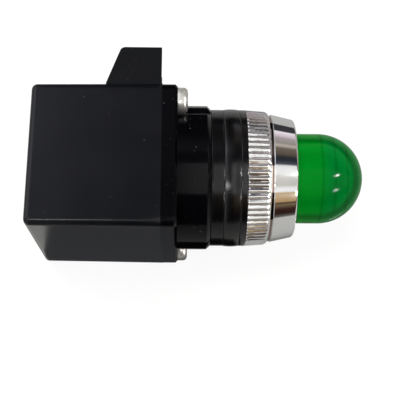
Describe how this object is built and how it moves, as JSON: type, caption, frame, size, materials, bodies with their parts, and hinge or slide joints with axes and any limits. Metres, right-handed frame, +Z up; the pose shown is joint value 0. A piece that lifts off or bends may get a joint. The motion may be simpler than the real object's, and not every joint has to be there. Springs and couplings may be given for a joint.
{
  "type": "pushbutton switch",
  "caption": "Illuminated panel pushbutton: square black case, side terminal block, round drum, gaskets, knurled chrome nut and nose, green domed lens that springs back",
  "frame": {"origin": "on the axis of the push, at the panel seat: the rear face of the front gasket", "axes": "+X along the push axis, out of the panel towards the domed lens; +Z up as the switch lies on the side of its case; +Y towards the terminal block"},
  "size_m": [0.0705, 0.0395, 0.0312],
  "materials": {
    "case_plastic": "satin moulded black plastic",
    "body_plastic": "glossy moulded black plastic",
    "terminal_plastic": "matte moulded dark grey plastic",
    "ring_plastic": "fine turned black plastic",
    "gasket_rubber": "black rubber with fine turned lines",
    "chrome_plate": "bright chromium plate",
    "green_lens": "glossy translucent green plastic",
    "lamp_glass": "clear blown glass",
    "inner_plastic": "natural white moulded plastic",
    "contact_brass": "stamped brass",
    "contact_silver": "silver contact metal",
    "zinc_steel": "dull zinc plated steel",
    "spring_steel": "drawn spring steel wire"
  },
  "bodies": {
    "housing": {"front_body": "body_plastic", "rear_case": "case_plastic", "terminal_block": "terminal_plastic", "spacer_ring": "ring_plastic", "rear_gasket": "gasket_rubber", "front_gasket": "gasket_rubber", "knurled_nut": "chrome_plate", "nose_bezel": "chrome_plate", "case_screw_1": "zinc_steel", "case_screw_2": "zinc_steel", "terminal_1": "contact_brass", "terminal_2": "contact_brass", "terminal_3": "contact_brass", "terminal_4": "contact_brass", "clamp_washer_1": "zinc_steel", "clamp_washer_2": "zinc_steel", "clamp_washer_3": "zinc_steel", "clamp_washer_4": "zinc_steel", "terminal_screw_1": "zinc_steel", "terminal_screw_2": "zinc_steel", "terminal_screw_3": "zinc_steel", "terminal_screw_4": "zinc_steel", "fixed_contact_1": "contact_silver", "fixed_contact_2": "contact_silver", "socket_base": "terminal_plastic", "socket_shell": "contact_brass", "centre_contact": "contact_brass", "lamp_cap": "zinc_steel", "lamp_glass": "lamp_glass", "return_spring": "spring_steel", "carrier_spring": "spring_steel"},
    "button": {"lens": "green_lens", "lens_holder": "inner_plastic", "button_seal": "gasket_rubber", "plunger": "inner_plastic", "contact_carrier": "inner_plastic", "contact_spring": "spring_steel"},
    "contact_bar": {"contact_bridge": "contact_brass"}
  },
  "joints": [
    {"name": "button_press", "type": "slide", "parent": "housing", "child": "button", "axis": [1, 0, 0], "range_m": [-0.004, 0], "stiffness_N_per_m": 500, "springref_m": 0.004, "deforming": ["return_spring", "carrier_spring"]},
    {"name": "contact_bar_travel", "type": "slide", "parent": "housing", "child": "contact_bar", "axis": [1, 0, 0], "range_m": [-0.003, 0], "deforming": ["contact_spring"]}
  ],
  "couplings": [
    {"joint": "contact_bar_travel", "follows": "button_press", "ratio": 0.75}
  ]
}
